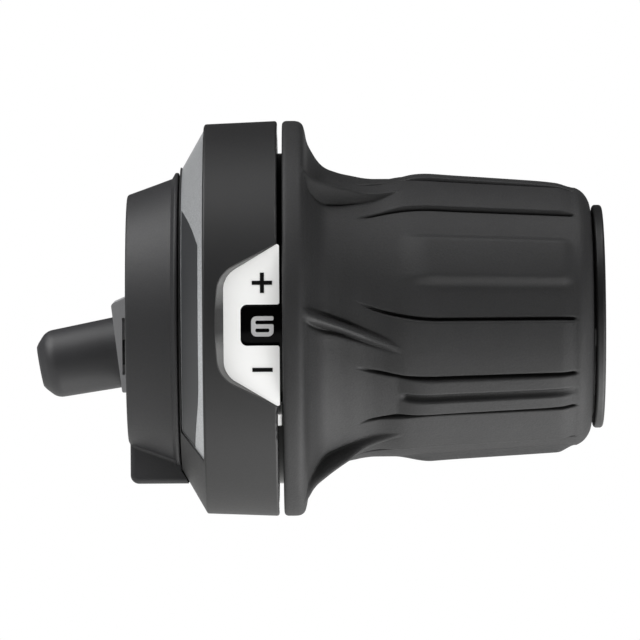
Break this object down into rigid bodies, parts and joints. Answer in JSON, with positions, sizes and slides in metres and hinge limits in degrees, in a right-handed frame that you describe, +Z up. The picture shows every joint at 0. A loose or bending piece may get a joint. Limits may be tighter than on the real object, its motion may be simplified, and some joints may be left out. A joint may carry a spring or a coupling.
{
  "type": "twist grip shifter",
  "caption": "Handlebar twist grip shifter: clamp collar with cable outlet, housing ring with gear window and a ribbed rubber grip that turns in clicks to wind the cable.",
  "frame": {"origin": "on the handlebar's axis at the inboard face of the clamp collar", "axes": "+X along the bar towards its end, +Z up, the gear window faces -Y"},
  "size_m": [0.0792, 0.055, 0.055],
  "materials": {
    "housing_plastic": "fine grained moulded plastic",
    "grey_plastic": "plain grey moulding",
    "silver_trim": "satin silver paint with a dark band",
    "white_plastic": "smooth white moulding",
    "black_plastic": "smooth black moulding",
    "natural_plastic": "unfilled low friction moulding",
    "grip_rubber": "fine textured soft moulding",
    "steel": "plain zinc plated",
    "brass": "turned",
    "black_print": "printed mark",
    "white_print": "printed mark"
  },
  "bodies": {
    "housing": {"bracket": "housing_plastic", "clamp_bolt": "steel", "clamp_insert": "brass", "housing_shell": "housing_plastic", "shell_screw_1": "steel", "shell_screw_2": "steel", "shell_screw_3": "steel", "shoulder_trim": "silver_trim", "indicator_plate": "white_plastic", "plus_mark": "black_print", "minus_mark": "black_print", "cable_outlet": "housing_plastic", "outlet_foot": "grey_plastic", "cable_guide": "natural_plastic", "detent_spring": "steel", "spring_pin_1": "steel", "spring_pin_2": "steel", "thrust_washer": "natural_plastic", "end_cap": "black_plastic", "retaining_clip": "steel"},
    "twist_grip": {"winding_spool": "natural_plastic", "index_ring": "natural_plastic", "number_ring": "black_plastic", "gear_numeral_1": "white_print", "gear_numeral_2": "white_print", "gear_numeral_3": "white_print", "gear_numeral_4": "white_print", "gear_numeral_5": "white_print", "gear_numeral_6": "white_print", "grip_sleeve": "black_plastic", "grip_cover": "grip_rubber"}
  },
  "joints": [
    {"name": "grip_twist", "type": "hinge", "parent": "housing", "child": "twist_grip", "pos_m": [0, 0, 0], "axis": [1, 0, 0], "range_deg": [0, 65], "deforming": ["detent_spring"]}
  ]
}
